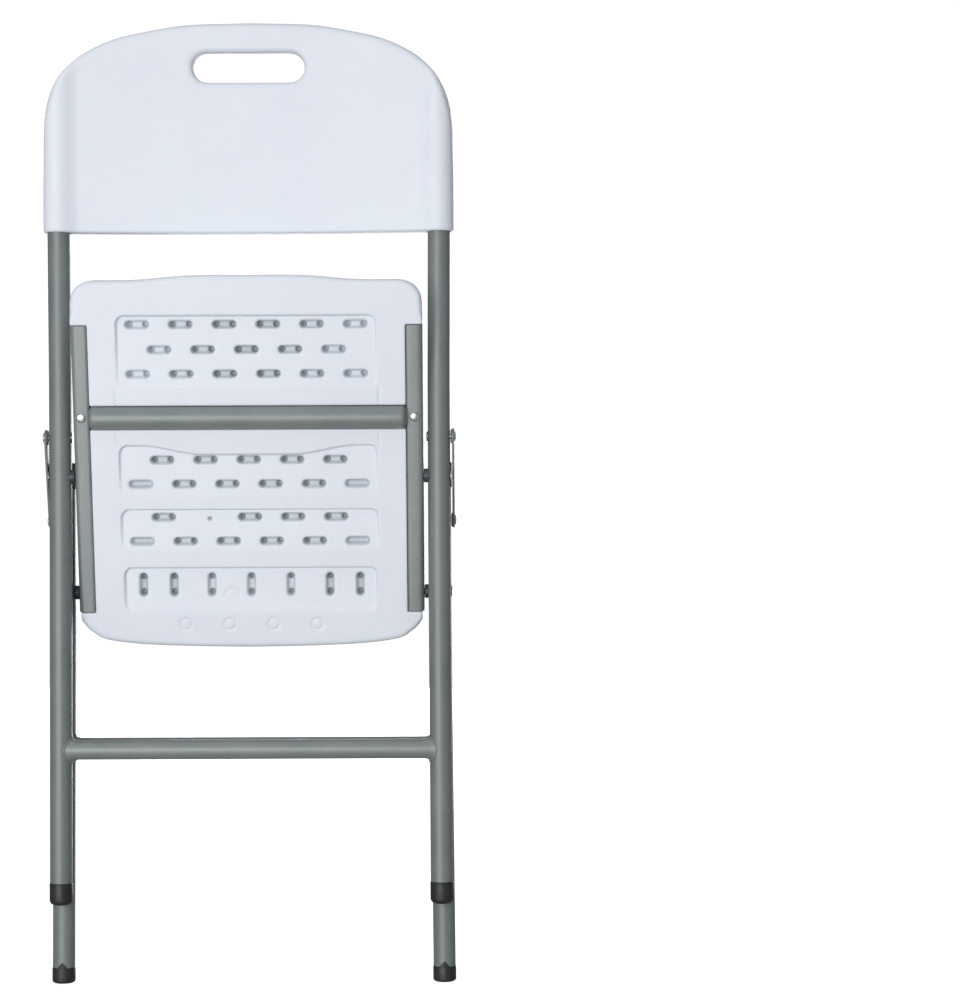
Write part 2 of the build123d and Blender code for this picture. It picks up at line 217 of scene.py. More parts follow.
def zinc_material():
    m = Mat("zinc_plate")
    spangle = m.noise(240.0, 3.0, 0.6)
    tone = m.ramp(spangle, "Fac", [(0.3, srgb(168, 172, 172)), (0.7, srgb(205, 207, 205))])
    m.out_color((tone, "Color"))
    rr = m.maprange(spangle, "Fac", 0.3, 0.7, 0.24, 0.42)
    m.link(rr, "Result", m.bsdf, "Roughness")
    fine = m.noise(900.0, 2.0, 0.6)
    b = m.bump(fine, "Fac", 0.00003, 0.5)
    m.link(b, "Normal", m.bsdf, "Normal")
    m.set(Metallic=1.0)
    return m.m


def nylon_material():
    m = Mat("nylon_dark")
    slow = m.noise(90.0, 3.0, 0.6)
    tone = m.ramp(slow, "Fac", [(0.3, srgb(48, 52, 55)), (0.7, srgb(66, 70, 73))])
    m.out_color((tone, "Color"))
    fine = m.noise(1100.0, 2.0, 0.6)
    b = m.bump(fine, "Fac", 0.00005, 0.4)
    m.link(b, "Normal", m.bsdf, "Normal")
    rr = m.maprange(slow, "Fac", 0.3, 0.7, 0.38, 0.5)
    m.link(rr, "Result", m.bsdf, "Roughness")
    return m.m


PLASTIC = plastic_material()
STEEL = steel_material()
# painted light: the cross bars, seat rails and cross tube share the frame's powder coat, painted 13 steps lighter for
# the light they catch
STEEL_PAINTED_LIGHTER = steel_material("powder_coat_grey_painted_lighter", 13)
DARK = dark_material()
ZINC = zinc_material()
NYLON = nylon_material()


# =====================================================================================================
# mesh helpers
# =====================================================================================================
def new_object(name, verts, faces, mat, smooth=True):
    me = bpy.data.meshes.new(name)
    me.from_pydata([tuple(v) for v in verts], [], [tuple(f) for f in faces])
    me.validate()
    me.update()
    if smooth:
        me.polygons.foreach_set("use_smooth", [True] * len(me.polygons))
    o = bpy.data.objects.new(name, me)
    scene.collection.objects.link(o)
    me.materials.append(mat)
    return o


def surface_net(field, lo, hi, step):
    """Closed quad mesh of field(x, y, z) = 0 (negative inside), by dual contouring on a regular grid with averaged edge crossings.
    lo, hi and step are in millimetres; the result is in millimetres."""
    lo, hi = np.array(lo, float), np.array(hi, float)
    n = np.ceil((hi - lo) / step).astype(int) + 1
    ax = [lo[i] + step * np.arange(n[i]) for i in range(3)]
    X, Y, Z = np.meshgrid(*ax, indexing="ij", sparse=True)
    F = field(X, Y, Z).astype(np.float32)
    S = F < 0
    cells = np.array(F.shape) - 1
    # accumulate crossing points per cell
    acc = np.zeros((*cells, 3), np.float32)
    cnt = np.zeros(cells, np.float32)
    quads = []
    idx = np.full(cells, -1, np.int64)
    crossings = []
    for a in range(3):
        sl0 = [slice(None)] * 3
        sl1 = [slice(None)] * 3
        sl0[a] = slice(0, -1)
        sl1[a] = slice(1, None)
        f0, f1 = F[tuple(sl0)], F[tuple(sl1)]
        s0, s1 = S[tuple(sl0)], S[tuple(sl1)]
        e = np.argwhere(s0 != s1)
        v0 = f0[tuple(e.T)]
        v1 = f1[tuple(e.T)]
        t = v0 / (v0 - v1)
        p = e.astype(np.float32)
        p[:, a] += t
        b, c = (a + 1) % 3, (a + 2) % 3
        for db in (0, -1):
            for dc in (0, -1):
                q = e.copy()
                q[:, b] += db
                q[:, c] += dc
                ok = ((q >= 0) & (q < cells)).all(1)
                qq = q[ok]
                np.add.at(cnt, tuple(qq.T), 1.0)
                np.add.at(acc, tuple(qq.T), p[ok])
        crossings.append((a, e, s0[tuple(e.T)]))
    used = np.argwhere(cnt > 0)
    idx[tuple(used.T)] = np.arange(len(used))
    pos = acc[tuple(used.T)] / cnt[tuple(used.T)][:, None]
    verts = lo + pos * step
    for a, e, inside0 in crossings:
        b, c = (a + 1) % 3, (a + 2) % 3
        inner = (e[:, b] > 0) & (e[:, c] > 0) & (e[:, b] < cells[b]) & (e[:, c] < cells[c])
        e, inside0 = e[inner], inside0[inner]

        def cell(db, dc):
            q = e.copy()
            q[:, b] += db
            q[:, c] += dc
            return idx[tuple(q.T)]

        q = np.stack([cell(-1, -1), cell(0, -1), cell(0, 0), cell(-1, 0)], 1)
        q[~inside0] = q[~inside0][:, ::-1]
        quads.append(q)
    quads = np.concatenate(quads)
    return verts, quads


def net_object(name, field, lo, hi, step, mat, to_world=None, decimate=None, smooth_iter=0):
    verts, quads = surface_net(field, lo, hi, step)
    v = verts * MM
    if to_world is not None:
        v = to_world(v)
    me = bpy.data.meshes.new(name)
    me.vertices.add(len(v))
    me.vertices.foreach_set("co", np.asarray(v, np.float32).ravel())
    me.loops.add(len(quads) * 4)
    me.loops.foreach_set("vertex_index", quads.ravel().astype(np.int32))
    me.polygons.add(len(quads))
    me.polygons.foreach_set("loop_start", (np.arange(len(quads)) * 4).astype(np.int32))
    me.polygons.foreach_set("use_smooth", np.ones(len(quads), bool))
    me.update(calc_edges=True)
    me.validate()
    me.materials.append(mat)
    o = bpy.data.objects.new(name, me)
    scene.collection.objects.link(o)
    if smooth_iter:
        s = o.modifiers.new("relax", "SMOOTH")
        s.factor = 0.5
        s.iterations = smooth_iter
        apply_modifiers(o)
    if decimate:
        d = o.modifiers.new("thin", "DECIMATE")
        d.ratio = decimate
        apply_modifiers(o)
        o.data.polygons.foreach_set("use_smooth", [True] * len(o.data.polygons))
    return o


def apply_modifiers(o):
    dg = bpy.context.evaluated_depsgraph_get()
    new = bpy.data.meshes.new_from_object(o.evaluated_get(dg))
    o.modifiers.clear()
    old = o.data
    o.data = new
    bpy.data.meshes.remove(old)


def smin(a, b, k):
    h = np.clip(0.5 + 0.5 * (b - a) / k, 0, 1)
    return b * (1 - h) + a * h - k * h * (1 - h)


def smax(a, b, k):
    return -smin(-a, -b, k)


def sstep(x, a, b):
    t = np.clip((x - a) / (b - a), 0, 1)
    return t * t * (3 - 2 * t)


def poly_sdf(px, py, poly):
    """Signed distance from the points to a closed polygon, negative inside."""
    poly = np.asarray(poly, float)
    d = np.full(px.shape, 1e9)
    inside = np.zeros(px.shape, bool)
    n = len(poly)
    for i in range(n):
        ax_, ay_ = poly[i]
        bx_, by_ = poly[(i + 1) % n]
        ex, ey = bx_ - ax_, by_ - ay_
        wx, wy = px - ax_, py - ay_
        t = np.clip((wx * ex + wy * ey) / max(ex * ex + ey * ey, 1e-12), 0, 1)
        dx, dy = wx - ex * t, wy - ey * t
        d = np.minimum(d, dx * dx + dy * dy)
        cond = ((ay_ > py) != (by_ > py)) & (px < ex * (py - ay_) / (ey if abs(ey) > 1e-12 else 1e-12) + ax_)
        inside ^= cond
    d = np.sqrt(d)
    return np.where(inside, -d, d)


def catmull(points, per=8):
    """Smooth open curve through the points (centripetal enough for evenly spaced points)."""
    p = [np.array(q, float) for q in points]
    p = [2 * p[0] - p[1]] + p + [2 * p[-1] - p[-2]]
    out = []
    for i in range(1, len(p) - 2):
        for k in range(per):
            t = k / per
            a, b, c, d = p[i - 1], p[i], p[i + 1], p[i + 2]
            out.append(0.5 * ((2 * b) + (-a + c) * t + (2 * a - 5 * b + 4 * c - d) * t * t + (-a + 3 * b - 3 * c + d) * t**3))
    out.append(p[-2])
    return out


class Build:
    """Collects several closed pieces of mesh into one object. Millimetres in, metres out."""

    def __init__(self):
        self.v, self.f = [], []
        self.count = 0

    def add(self, verts, faces):
        self.v.append(np.asarray(verts, float))
        self.f += [[i + self.count for i in f] for f in faces]
        self.count += len(verts)

    def rings(self, rings, closed=False, cap_low=True, cap_high=True):
        """Skin over a list of equally long rings of points. closed joins the last ring to the first."""
        n = len(rings[0])
        verts = np.concatenate(rings)
        faces = []
        m = len(rings)
        for i in range(m if closed else m - 1):
            j = (i + 1) % m
            for k in range(n):
                l = (k + 1) % n
                faces.append([i * n + k, i * n + l, j * n + l, j * n + k])
        if not closed:
            if cap_low:
                verts = np.vstack([verts, rings[0].mean(0)])
                c = len(verts) - 1
                faces += [[c, (k + 1) % n, k] for k in range(n)]
            if cap_high:
                verts = np.vstack([verts, rings[-1].mean(0)])
                c = len(verts) - 1
                o = (m - 1) * n
                faces += [[c, o + k, o + (k + 1) % n] for k in range(n)]
        self.add(verts, faces)

    def mirrored(self):
        """Adds the mirror image in x of everything so far."""
        for v in list(self.v):
            pass
        v = np.concatenate(self.v)
        f = [list(x) for x in self.f]
        self.add(v * np.array([-1.0, 1.0, 1.0]), [x[::-1] for x in f])

    def object(self, name, mat, sharp=38.0, flip_x=False):
        v = np.concatenate(self.v)
        f = self.f
        if flip_x:
            v = v * np.array([-1.0, 1.0, 1.0])
            f = [x[::-1] for x in f]
        me = bpy.data.meshes.new(name)
        me.from_pydata([tuple(p) for p in v * MM], [], [tuple(x) for x in f])
        me.validate()
        bm = bmesh.new()
        bm.from_mesh(me)
        bmesh.ops.remove_doubles(bm, verts=bm.verts, dist=1e-6)
        bmesh.ops.recalc_face_normals(bm, faces=bm.faces)
        bm.to_mesh(me)
        bm.free()
        me.polygons.foreach_set("use_smooth", [True] * len(me.polygons))
        me.set_sharp_from_angle(angle=math.radians(sharp))
        me.update()
        me.materials.append(mat)
        o = bpy.data.objects.new(name, me)
        scene.collection.objects.link(o)
        return o


def frame_of(axis):
    d = np.asarray(axis, float)
    d = d / np.linalg.norm(d)
    ref = np.array([0.0, 1.0, 0.0]) if abs(d[1]) < 0.9 else np.array([1.0, 0.0, 0.0])
    u = np.cross(ref, d)
    u /= np.linalg.norm(u)
    return d, u, np.cross(d, u)


def lathe(b, profile, origin, axis, seg=48, closed=False, squash=(1.0, 1.0)):
    """Turned piece: profile is a list of (radius, height along the axis)."""
    d, u, v = frame_of(axis)
    a = 2 * np.pi * np.arange(seg) / seg
    rings = []
    for r, h in profile:
        r = max(r, 1e-4)
        rings.append(np.asarray(origin, float) + d * h + r * (np.cos(a)[:, None] * u * squash[0] + np.sin(a)[:, None] * v * squash[1]))
    b.rings(rings, closed=closed)


def dome(r, h, base=0.0, edge=0.35, n=8):
    """Profile of a low domed head sitting on the height 'base'."""
    out = [(r * 0.5, base), (r - 0.25, base), (r, base + 0.2), (r, base + h * edge)]
    for i in range(1, n + 1):
        t = 0.5 * math.pi * i / n
        out.append((r * math.cos(t), base + h * edge + h * (1 - edge) * math.sin(t)))
    return out


def arc(cx, cy, r, a0, a1, n=6):
    return [(cx + r * math.cos(math.radians(a0 + (a1 - a0) * i / n)), cy + r * math.sin(math.radians(a0 + (a1 - a0) * i / n)))
            for i in range(n + 1)]


def tube_between(b, pts, r_out, r_in, seg=72, step=18.0):
    """Open-ended tube with a real wall along a polyline."""
    pts = [np.array(p, float) for p in pts]
    path = []
    for a, c in zip(pts[:-1], pts[1:]):
        n = max(int(np.linalg.norm(c - a) // step), 1)
        path += [a + (c - a) * i / n for i in range(n)]
    path.append(pts[-1])
    ang = 2 * np.pi * np.arange(seg) / seg
    outer, inner = [], []
    for i, p in enumerate(path):
        d = path[min(i + 1, len(path) - 1)] - path[max(i - 1, 0)]
        d, u, v = frame_of(d)
        circ = np.cos(ang)[:, None] * u + np.sin(ang)[:, None] * v
        if i == 0:
            outer.append(p + circ * (r_out - 0.3))
            outer.append(p + d * 0.3 + circ * r_out)
        elif i == len(path) - 1:
            outer.append(p - d * 0.3 + circ * r_out)
            outer.append(p + circ * (r_out - 0.3))
        else:
            outer.append(p + circ * r_out)
        inner.append(p + circ * r_in)
    b.rings(outer + inner[::-1], closed=True)


# =====================================================================================================
# the chair's dimensions, millimetres, as in the CAD
# =====================================================================================================
TUBE_R, TUBE_IN = 12.0, 10.8
LEG_Y = 26.0
Z_P1, Z_P2, Z_L1, Z_L2 = 547.2, 422.2, 589.2, 499.5
Z_BAR, BAR_R = 254.3, 10.5
FRONT = [(204.2, 0, 112.0), (203, 0, 470), (203, 0, 650), (204.6, 0, 934)]
REAR = [(206.3, LEG_Y, 16.58), (203.5, LEG_Y, 385), (203.5, LEG_Y, 559.5)]
FRONT_FOOT_H, REAR_FOOT_H, FOOT_R = 23.5, 16.5, 12.5
REAR_TOP = 562.5
PLATE_X, PLATE_T = 217.0, 2.5
TILT = math.radians(10.0)
S10, C10 = math.sin(TILT), math.cos(TILT)
CROSS_Y, CROSS_Z = 64.8, 9.5
P2_LOCAL = (-127.61, -3.90)


def seat_to_world(v, unit=MM):
    v = np.asarray(v, float)
    x, y, z = v[:, 0], v[:, 1], v[:, 2]
    return np.stack([x, -y * S10 - z * C10, Z_P1 * unit + y * C10 - z * S10], 1)


def seat_mm(v):
    return seat_to_world(v, 1.0)


def shell_sdf(D, t_low, t_high, r_low, r_high, low_side):
    """Rounded slab: D is the plan distance, t_low and t_high the distances past the two faces."""

    def side(t, r):
        wx, wy = D + r, t + r
        return np.minimum(np.maximum(wx, wy), 0) + np.sqrt(np.maximum(wx, 0) ** 2 + np.maximum(wy, 0) ** 2) - r

    return np.where(low_side, side(t_low, r_low), side(t_high, r_high))


# =====================================================================================================
# backrest: one hollow moulding, two sleeves over the uprights, a curved panel and a hand hold
# =====================================================================================================
BACK_TOP = [(0, 1035.2), (64, 1033.2), (107.5, 1026.3), (145.8, 1016.6), (177.6, 1000.6), (196.3, 983.4), (207.2, 966.2),
            (214.6, 947), (218.6, 931), (220, 915)]
_half = [tuple(p) for p in catmull(BACK_TOP, 6)]
_half[0] = (0.0, 1035.2)
_half = [(x + (4.5 * min(max((985 - z) / 80.0, 0.0), 1.0) ** 1.5 if x > 150 else 0.0), z) for x, z in _half]
_half += [(224.5, 880), (224.5, 808.5), (110, 808.5), (0, 808.5)]
BACK_OUTLINE = [(x, z) for x, z in _half] + [(-x, z) for x, z in _half[::-1] if x > 0.01]
CREASE = catmull([(20, 1006.5), (44, 1006.8), (60, 1005), (69, 1000), (73.5, 990), (72, 976), (67, 963), (62, 948), (59.8, 931), (60.5, 908)], 4)
CREASE2 = catmull([(-56, 1007), (-64, 1002), (-69, 993), (-70, 985)], 4)


def line_dist(px, pz, line):
    """Distance to an open polyline, and how far along it (0..1)."""
    d = np.full(np.broadcast(px, pz).shape, 1e9)
    s = np.zeros(d.shape)
    m = len(line) - 1
    for i in range(m):
        ax_, ay_ = line[i]
        bx_, by_ = line[i + 1]
        ex, ey = bx_ - ax_, by_ - ay_
        t = np.clip(((px - ax_) * ex + (pz - ay_) * ey) / (ex * ex + ey * ey), 0, 1)
        q = np.hypot(px - ax_ - ex * t, pz - ay_ - ey * t)
        near = q < d
        d = np.where(near, q, d)
        s = np.where(near, (i + t) / m, s)
    return d, s


def back_field(X, Y, Z):
    PX, PZ = np.broadcast_arrays(X[:, 0, :], Z[:, 0, :])
    D = poly_sdf(PX, PZ, BACK_OUTLINE)[:, None, :]
    mid = np.where(np.abs(X) < 196, 12.5 * (1 - (X / 196.0) ** 2), 0.0)
    t = np.where(np.abs(X) < 200, Y - mid, np.hypot(Y, np.abs(X) - 200.0) + 0.0 * Z)
    r = 3.0 + 5.0 * sstep(Z, 820, 900) + 0.0 * X
    cyl = np.sqrt((np.abs(X) - 204.5) ** 2 + Y**2) - 15.5
    k = 2.6 + 8.0 * sstep(-Y, -4, 5) + 9.0 * sstep(Z, 925, 962) * sstep(Y, -4, 5)
    section = smin(np.abs(t) - 10.4, cyl, k)
    wx, wy = D + r, section + r
    d = np.minimum(np.maximum(wx, wy), 0) + np.sqrt(np.maximum(wx, 0) ** 2 + np.maximum(wy, 0) ** 2) - r
    hold = np.sqrt(np.maximum(np.abs(X) - 44, 0) ** 2 + (Z - 987) ** 2) - 16.0
    d = smax(d, -hold, 8.0)
    # the mould's flow line on the rear face, from the end of the hand hold downwards
    c1, s1 = line_dist(PX, PZ, CREASE)
    c2, s2 = line_dist(PX, PZ, CREASE2)
    cut = 2.3 * np.exp(-((c1 / 1.9) ** 2)) * sstep(s1, 0.0, 0.25) * (1 - sstep(s1, 0.66, 1.0))
    cut = cut + 1.0 * np.exp(-((c2 / 2.0) ** 2)) * sstep(s2, 0.0, 0.3) * (1 - sstep(s2, 0.6, 1.0))
    d = d + cut[:, None, :] * sstep(t, 2, 8)
    # sockets for the uprights
    axis_x = 203.0 + 1.6 * np.clip((Z - 650.0) / 284.0, 0, 1)
    bore = np.maximum(np.sqrt((np.abs(X) - axis_x) ** 2 + Y**2) - 12.15, Z - 935.0)
    d = np.maximum(d, -bore)
    return d


step_back = 1.3
backrest = net_object("backrest_moulding", back_field, (-224, -19.5, 804), (224, 26, 1039), step_back, PLASTIC, smooth_iter=1)
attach(backrest, "front_frame")
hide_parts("backrest")

# =====================================================================================================
# seat: one hollow moulding with tapering fields and kiss-offs in its underside
# =====================================================================================================
_front = [tuple(p) for p in catmull([(0, 215.4), (38, 215.8), (70, 214.8), (112, 211.2), (140, 210.5), (160, 210.6)], 5)]
_front[0] = (0.0, 215.4)
_corner = [tuple(p) for p in catmull([(166, 210.0), (173.8, 207.4), (180.6, 202.2), (184.8, 194.8), (186.3, 185.0)], 4)]
_rear = [tuple(p) for p in catmull([(184.3, -156), (179.2, -163.5), (172.5, -169.4), (158, -177.6), (119.5, -183.0), (60, -185.6),
                                    (0, -186.6)], 4)]
_sh = _front + _corner + [(186.3, 163.6), (168.3, 163.6), (168.3, -147.6), (184.3, -147.6)] + _rear
SEAT_OUTLINE = _sh + [(-x, y) for x, y in _sh[::-1] if x > 0.01]

K = 46.3
KISS = []  # x, y, kind: 0 along x with two dimples, 1 plain along x, 2 along y, 3 only a pin hole
for y_ in (163.9, 111.4):
    KISS += [(i * K, y_, 0) for i in (-2.5, -1.5, -0.5, 0.5, 1.5, 2.5)]
for y_ in (137.2, 19.0):
    KISS += [(i * K, y_, 0) for i in (-2, -1, 0, 1, 2)]
KISS += [(i * K, -43.3, 0) for i in (-2, 0, 1, 2)] + [(-43.0, -45.0, 3)]
for y_ in (-6.9, -69.2):
    KISS += [(i * K, y_, 0 if abs(i) < 2 else 1) for i in (-2.5, -1.5, -0.5, 0.5, 1.5, 2.5)]
KISS += [(x_, -117.3, 2) for x_ in (-116.3, -83.4, -42.6, 0.0, 42.6, 84.8, 117.4)]


def rect_sdf(px, py, x0, x1, y0, y1, r):
    qx = np.abs(px - 0.5 * (x0 + x1)) - 0.5 * (x1 - x0) + r
    qy = np.abs(py - 0.5 * (y0 + y1)) - 0.5 * (y1 - y0) + r
    return np.minimum(np.maximum(qx, qy), 0) + np.hypot(np.maximum(qx, 0), np.maximum(qy, 0)) - r


def seat_depth(px, py):
    """Depth of the underside below its plane."""
    ax = np.abs(px)
    wall = 1.1
    depth = np.zeros(px.shape)

    def field(x1, top, low, dmax, dmin=0.0, r=9.0, slope=1.0):
        # top may be an array over x
        q = rect_sdf(px, py - (top - np.max(top)), -x1, x1, low, np.max(top), r)
        m = 1 - sstep(q, -wall, 0.0)
        f = np.clip((py - low) / (np.max(top) - low), 0, 1)
        return m * (dmin + (dmax - dmin) * f**slope)

    zero = 0.0 * px
    depth = np.maximum(depth, field(138, zero + 174.0, 98.0, 4.6, 0.5))
    top2 = 25.5 + 9.7 * sstep(ax, 46, 116)
    depth = np.maximum(depth, field(138, top2, -22.0, 4.6, 0.0))
    depth = np.maximum(depth, field(138, zero - 34.1, -80.0, 4.6, 0.0))
    depth = np.maximum(depth, field(136.5, zero - 97.5, -146.0, 5.0, 1.0, slope=0.7))
    # faint witness lines and the four rings at the rear
    lines = np.exp(-(((ax - 140) / 1.2) ** 2)) * sstep(py, 30, 40) * (1 - sstep(py, 94, 100)) * 0.9
    for cx in (23.7, 70.9):
        rr = np.abs(np.hypot(ax - cx, py + 160.3) - 6.0)
        lines = np.maximum(lines, 1.3 * np.exp(-((rr / 1.1) ** 2)))
    arch = np.abs(np.hypot(px + 20.2, py + 129.5) - 7.6)
    lines = np.maximum(lines, 0.9 * np.exp(-((arch / 1.1) ** 2)) * sstep(py, -131, -128))
    depth = depth + lines
    return depth


def kiss_painted_shade_weight(cx, cy, kind):
    """Weight of the painted shade inside the kiss-offs: strongest near the middle of the upper field and at the ends of
    the last row.
    """
    if kind == 1:
        return 0.62
    if kind == 2:
        return 0.95 if abs(cx) > 80 else 0.55
    if cy > 100:
        return max(1.0 - abs(cx) / 150.0, 0.30)
    return 0.66


def kiss_depth(px, py, painted_shade=False):
    """How much deeper the kiss-offs go; with the flag set, each is scaled by its weight for the painted shade instead.
    """
    out = np.zeros(px.shape)
    for cx, cy, kind in KISS:
        u, v = px - cx, py - cy
        if kind == 2:
            u, v = v, u
        if kind == 3:
            out = np.maximum(out, 5.0 * (1 - sstep(np.hypot(u, v), 1.0, 2.8)))
            continue
        near = (np.abs(u) < 22) & (np.abs(v) < 12)
        if not near.any():
            continue
        un, vn = u[near], v[near]
        wgt = kiss_painted_shade_weight(cx, cy, kind) if painted_shade else 1.0
        cap = np.hypot(np.maximum(np.abs(un) - 8.6, 0), vn)
        if kind == 1:
            d = 7.0 * (1 - sstep(cap, 1.8, 5.4))
        else:
            d = 5.5 * (1 - sstep(cap, 2.2, 5.2))
            dim = np.hypot(np.abs(un) - 8.4, vn * 1.02)
            d = np.maximum(d, 12.0 * (1 - sstep(dim, 1.4, 5.1)))
        out[near] = np.maximum(out[near], d * wgt)
    return out


def seat_field(X, Y, Z):
    PX, PY = np.broadcast_arrays(X[:, :, 0], Y[:, :, 0])
    D = poly_sdf(PX, PY, SEAT_OUTLINE)[:, :, None]
    ax = np.abs(PX)
    # the seating face: dished, its front edge rolling down, the sides standing a little proud
    dish = 4.2 * (1 - sstep(ax, 60, 163)) * sstep(PY, -176, -90) * (1 - 0.55 * sstep(PY, 90, 205))
    roll = 5.0 * np.clip((PY - 140) / 74.0, 0, 1) ** 2
    gx = 1 - sstep(np.abs(PX), 5.0, 11.0)
    groove = 2.8 * gx * (1 - sstep(PY, -149, -130))
    top = (-15.5 + dish + roll + groove)[:, :, None]
    low = (10.5 - seat_depth(PX, PY) - kiss_depth(PX, PY))[:, :, None]
    edge = (sstep(PY, 163, 180) + 1 - sstep(PY, -162, -148))[:, :, None]
    r_top = 2.0 + 7.2 * edge
    r_low = 0.9 + 5.1 * edge
    d = shell_sdf(D, top - Z, Z - 10.5, r_top, r_low, Z < -2.0)
    d = smax(d, Z - low, 0.8)
    bar = np.sqrt((Y - CROSS_Y) ** 2 + (Z - CROSS_Z) ** 2) - 12.7
    d = smax(d, -bar - 0.0 * X, 1.5)
    for py, pz in ((0.0, 0.0), P2_LOCAL):
        pocket = np.maximum(np.sqrt((Y - py) ** 2 + (Z - pz) ** 2) - 7.5, 163.5 - np.abs(X))
        d = np.maximum(d, -pocket)
    return d


step_seat = 1.2
seat = net_object("seat_moulding", seat_field, (-190, -190, -19), (190, 218, 14), step_seat, PLASTIC, to_world=seat_to_world,
                  smooth_iter=1)
co = np.empty(len(seat.data.vertices) * 3, np.float32)
seat.data.vertices.foreach_get("co", co)
co = co.reshape(-1, 3).astype(float) / MM
_ly = -co[:, 1] * S10 + (co[:, 2] - Z_P1) * C10
_lz = -co[:, 1] * C10 - (co[:, 2] - Z_P1) * S10
# painted shade: per-vertex weight from the kiss-off depths and their shade weights, which darkens the underside's
# kiss-offs in the plastic material
_kissoff_painted_shade = np.clip(kiss_depth(co[:, 0], _ly, painted_shade=True) / 7.0, 0, 1) * (_lz > -8.5) * np.clip((10.0 - _lz) / 4.0, 0, 1)
_at = seat.data.attributes.new("kissoff_painted_shade", "FLOAT", "POINT")
_at.data.foreach_set("value", _kissoff_painted_shade.astype(np.float32))
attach(seat, "seat")
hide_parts("seat_panel")

# =====================================================================================================
# frame tubes, cross bars with welds
# =====================================================================================================


def both_sides(build, name, mat, body, left, right):
    for side, node in ((1, right), (-1, left)):
        o = build.object(name + ("_right" if side > 0 else "_left"), mat, flip_x=side < 0)
        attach(o, body)
        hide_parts(node)


b = Build()
tube_between(b, FRONT, TUBE_R, TUBE_IN)
both_sides(b, "upright_tube", STEEL, "front_frame", "upright_left", "upright_right")
b = Build()
tube_between(b, REAR, TUBE_R, TUBE_IN)
both_sides(b, "rear_leg_tube", STEEL, "rear_legs", "rear_leg_left", "rear_leg_right")


def cross_bar(name, y0, tube_x, body, node):
    """Tube between the legs; its ends open out and are coped to the legs, with a weld bead round each joint."""
    b = Build()
    seg = 72
    a = 2 * np.pi * np.arange(seg) / seg

    def ring(x, ry, rz):
        return np.stack([np.full(seg, x), y0 + ry * np.cos(a), Z_BAR + rz * np.sin(a)], 1)

    def end_ring(side, ry, rz, extra):
        y = ry * np.cos(a)
        x = side * (tube_x - np.sqrt(np.maximum(TUBE_R**2 - y**2, 0)) + extra)
        return np.stack([x, y0 + y, Z_BAR + rz * np.sin(a)], 1)

    xs = []
    flare = [(0.0, 0.0), (0.35, 0.06), (0.6, 0.22), (0.8, 0.5), (0.93, 0.8), (1.0, 1.0)]
    rings = []
    ends = []
    for f, w in flare[::-1]:
        base = 182.0 + 5.0 * f
        # blend from a flat ring to the coped one
        er = end_ring(-1, BAR_R + 0.5 * w, BAR_R + 3.0 * w, 0.4)
        fr = ring(-182.0, BAR_R, BAR_R)
        rings.append(fr * (1 - f) + er * f if f < 1 else er)
    n = 24
    for i in range(1, n):
        rings.append(ring(-182.0 + 364.0 * i / n, BAR_R, BAR_R))
    for f, w in flare:
        er = end_ring(1, BAR_R + 0.5 * w, BAR_R + 3.0 * w, 0.4)
        fr = ring(182.0, BAR_R, BAR_R)
        rings.append(fr * (1 - f) + er * f if f < 1 else er)
    b.rings(rings)
    # weld beads
    for side in (-1, 1):
        m = 220
        t = 2 * np.pi * np.arange(m) / m
        y = (BAR_R + 0.7) * np.cos(t)
        x = side * (tube_x - np.sqrt(np.maximum(TUBE_R**2 - y**2, 0)) - 0.2)
        c = np.stack([x, y0 + y, Z_BAR + (BAR_R + 3.2) * np.sin(t)], 1)
        tan = np.roll(c, -1, 0) - np.roll(c, 1, 0)
        tan /= np.linalg.norm(tan, axis=1)[:, None]
        out = c - np.array([side * tube_x, y0, Z_BAR])
        out[:, 2] *= 0.3
        u = np.cross(tan, out)
        u /= np.linalg.norm(u, axis=1)[:, None]
        v = np.cross(tan, u)
        rip = 0.85 + 0.20 * np.abs(np.sin(t * 19.0)) + 0.10 * np.sin(t * 5.0 + side)
        rr = []
        for i in range(m):
            q = 2 * np.pi * np.arange(10) / 10
            rr.append(c[i] + rip[i] * (np.cos(q)[:, None] * u[i] + np.sin(q)[:, None] * v[i]))
        b.rings(rr, closed=True)
    o = b.object(name, STEEL_PAINTED_LIGHTER)
    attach(o, body)
    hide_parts(node)


cross_bar("front_crossbar_tube", 0.0, 203.72, "front_frame", "front_crossbar")
cross_bar("rear_crossbar_tube", LEG_Y, 204.49, "rear_legs", "rear_crossbar")

# =====================================================================================================
# seat rails and the cross tube under the seat
# =====================================================================================================


def rrect(w, h, r, n=6):
    pts = []
    for cx, cy, a0 in ((w / 2 - r, h / 2 - r, 0), (-w / 2 + r, h / 2 - r, 90), (-w / 2 + r, -h / 2 + r, 180), (w / 2 - r, -h / 2 + r, 270)):
        pts += arc(cx, cy, r, a0, a0 + 90, n)
    return np.array(pts)


def rail_section(w, h, r_outer, r_inner, n=7):
    pts = []
    for cx, cy, r, a0 in ((w / 2, h / 2, r_outer, 0), (-w / 2, h / 2, r_inner, 90), (-w / 2, -h / 2, r_inner, 180), (w / 2, -h / 2, r_outer, 270)):
        pts += arc(cx - math.copysign(r, cx), cy - math.copysign(r, cy), r, a0, a0 + 90, n)
    return np.array(pts)


b = Build()
out_, in_ = rail_section(18.0, 22.0, 6.0, 3.2), rail_section(15.0, 19.0, 4.5, 1.8)
cut_ = rail_section(17.4, 21.4, 5.7, 2.9)


def rail_ring(shape, y):
    return seat_mm(np.stack([177.5 + shape[:, 0], np.full(len(shape), y), -1.5 + shape[:, 1]], 1))


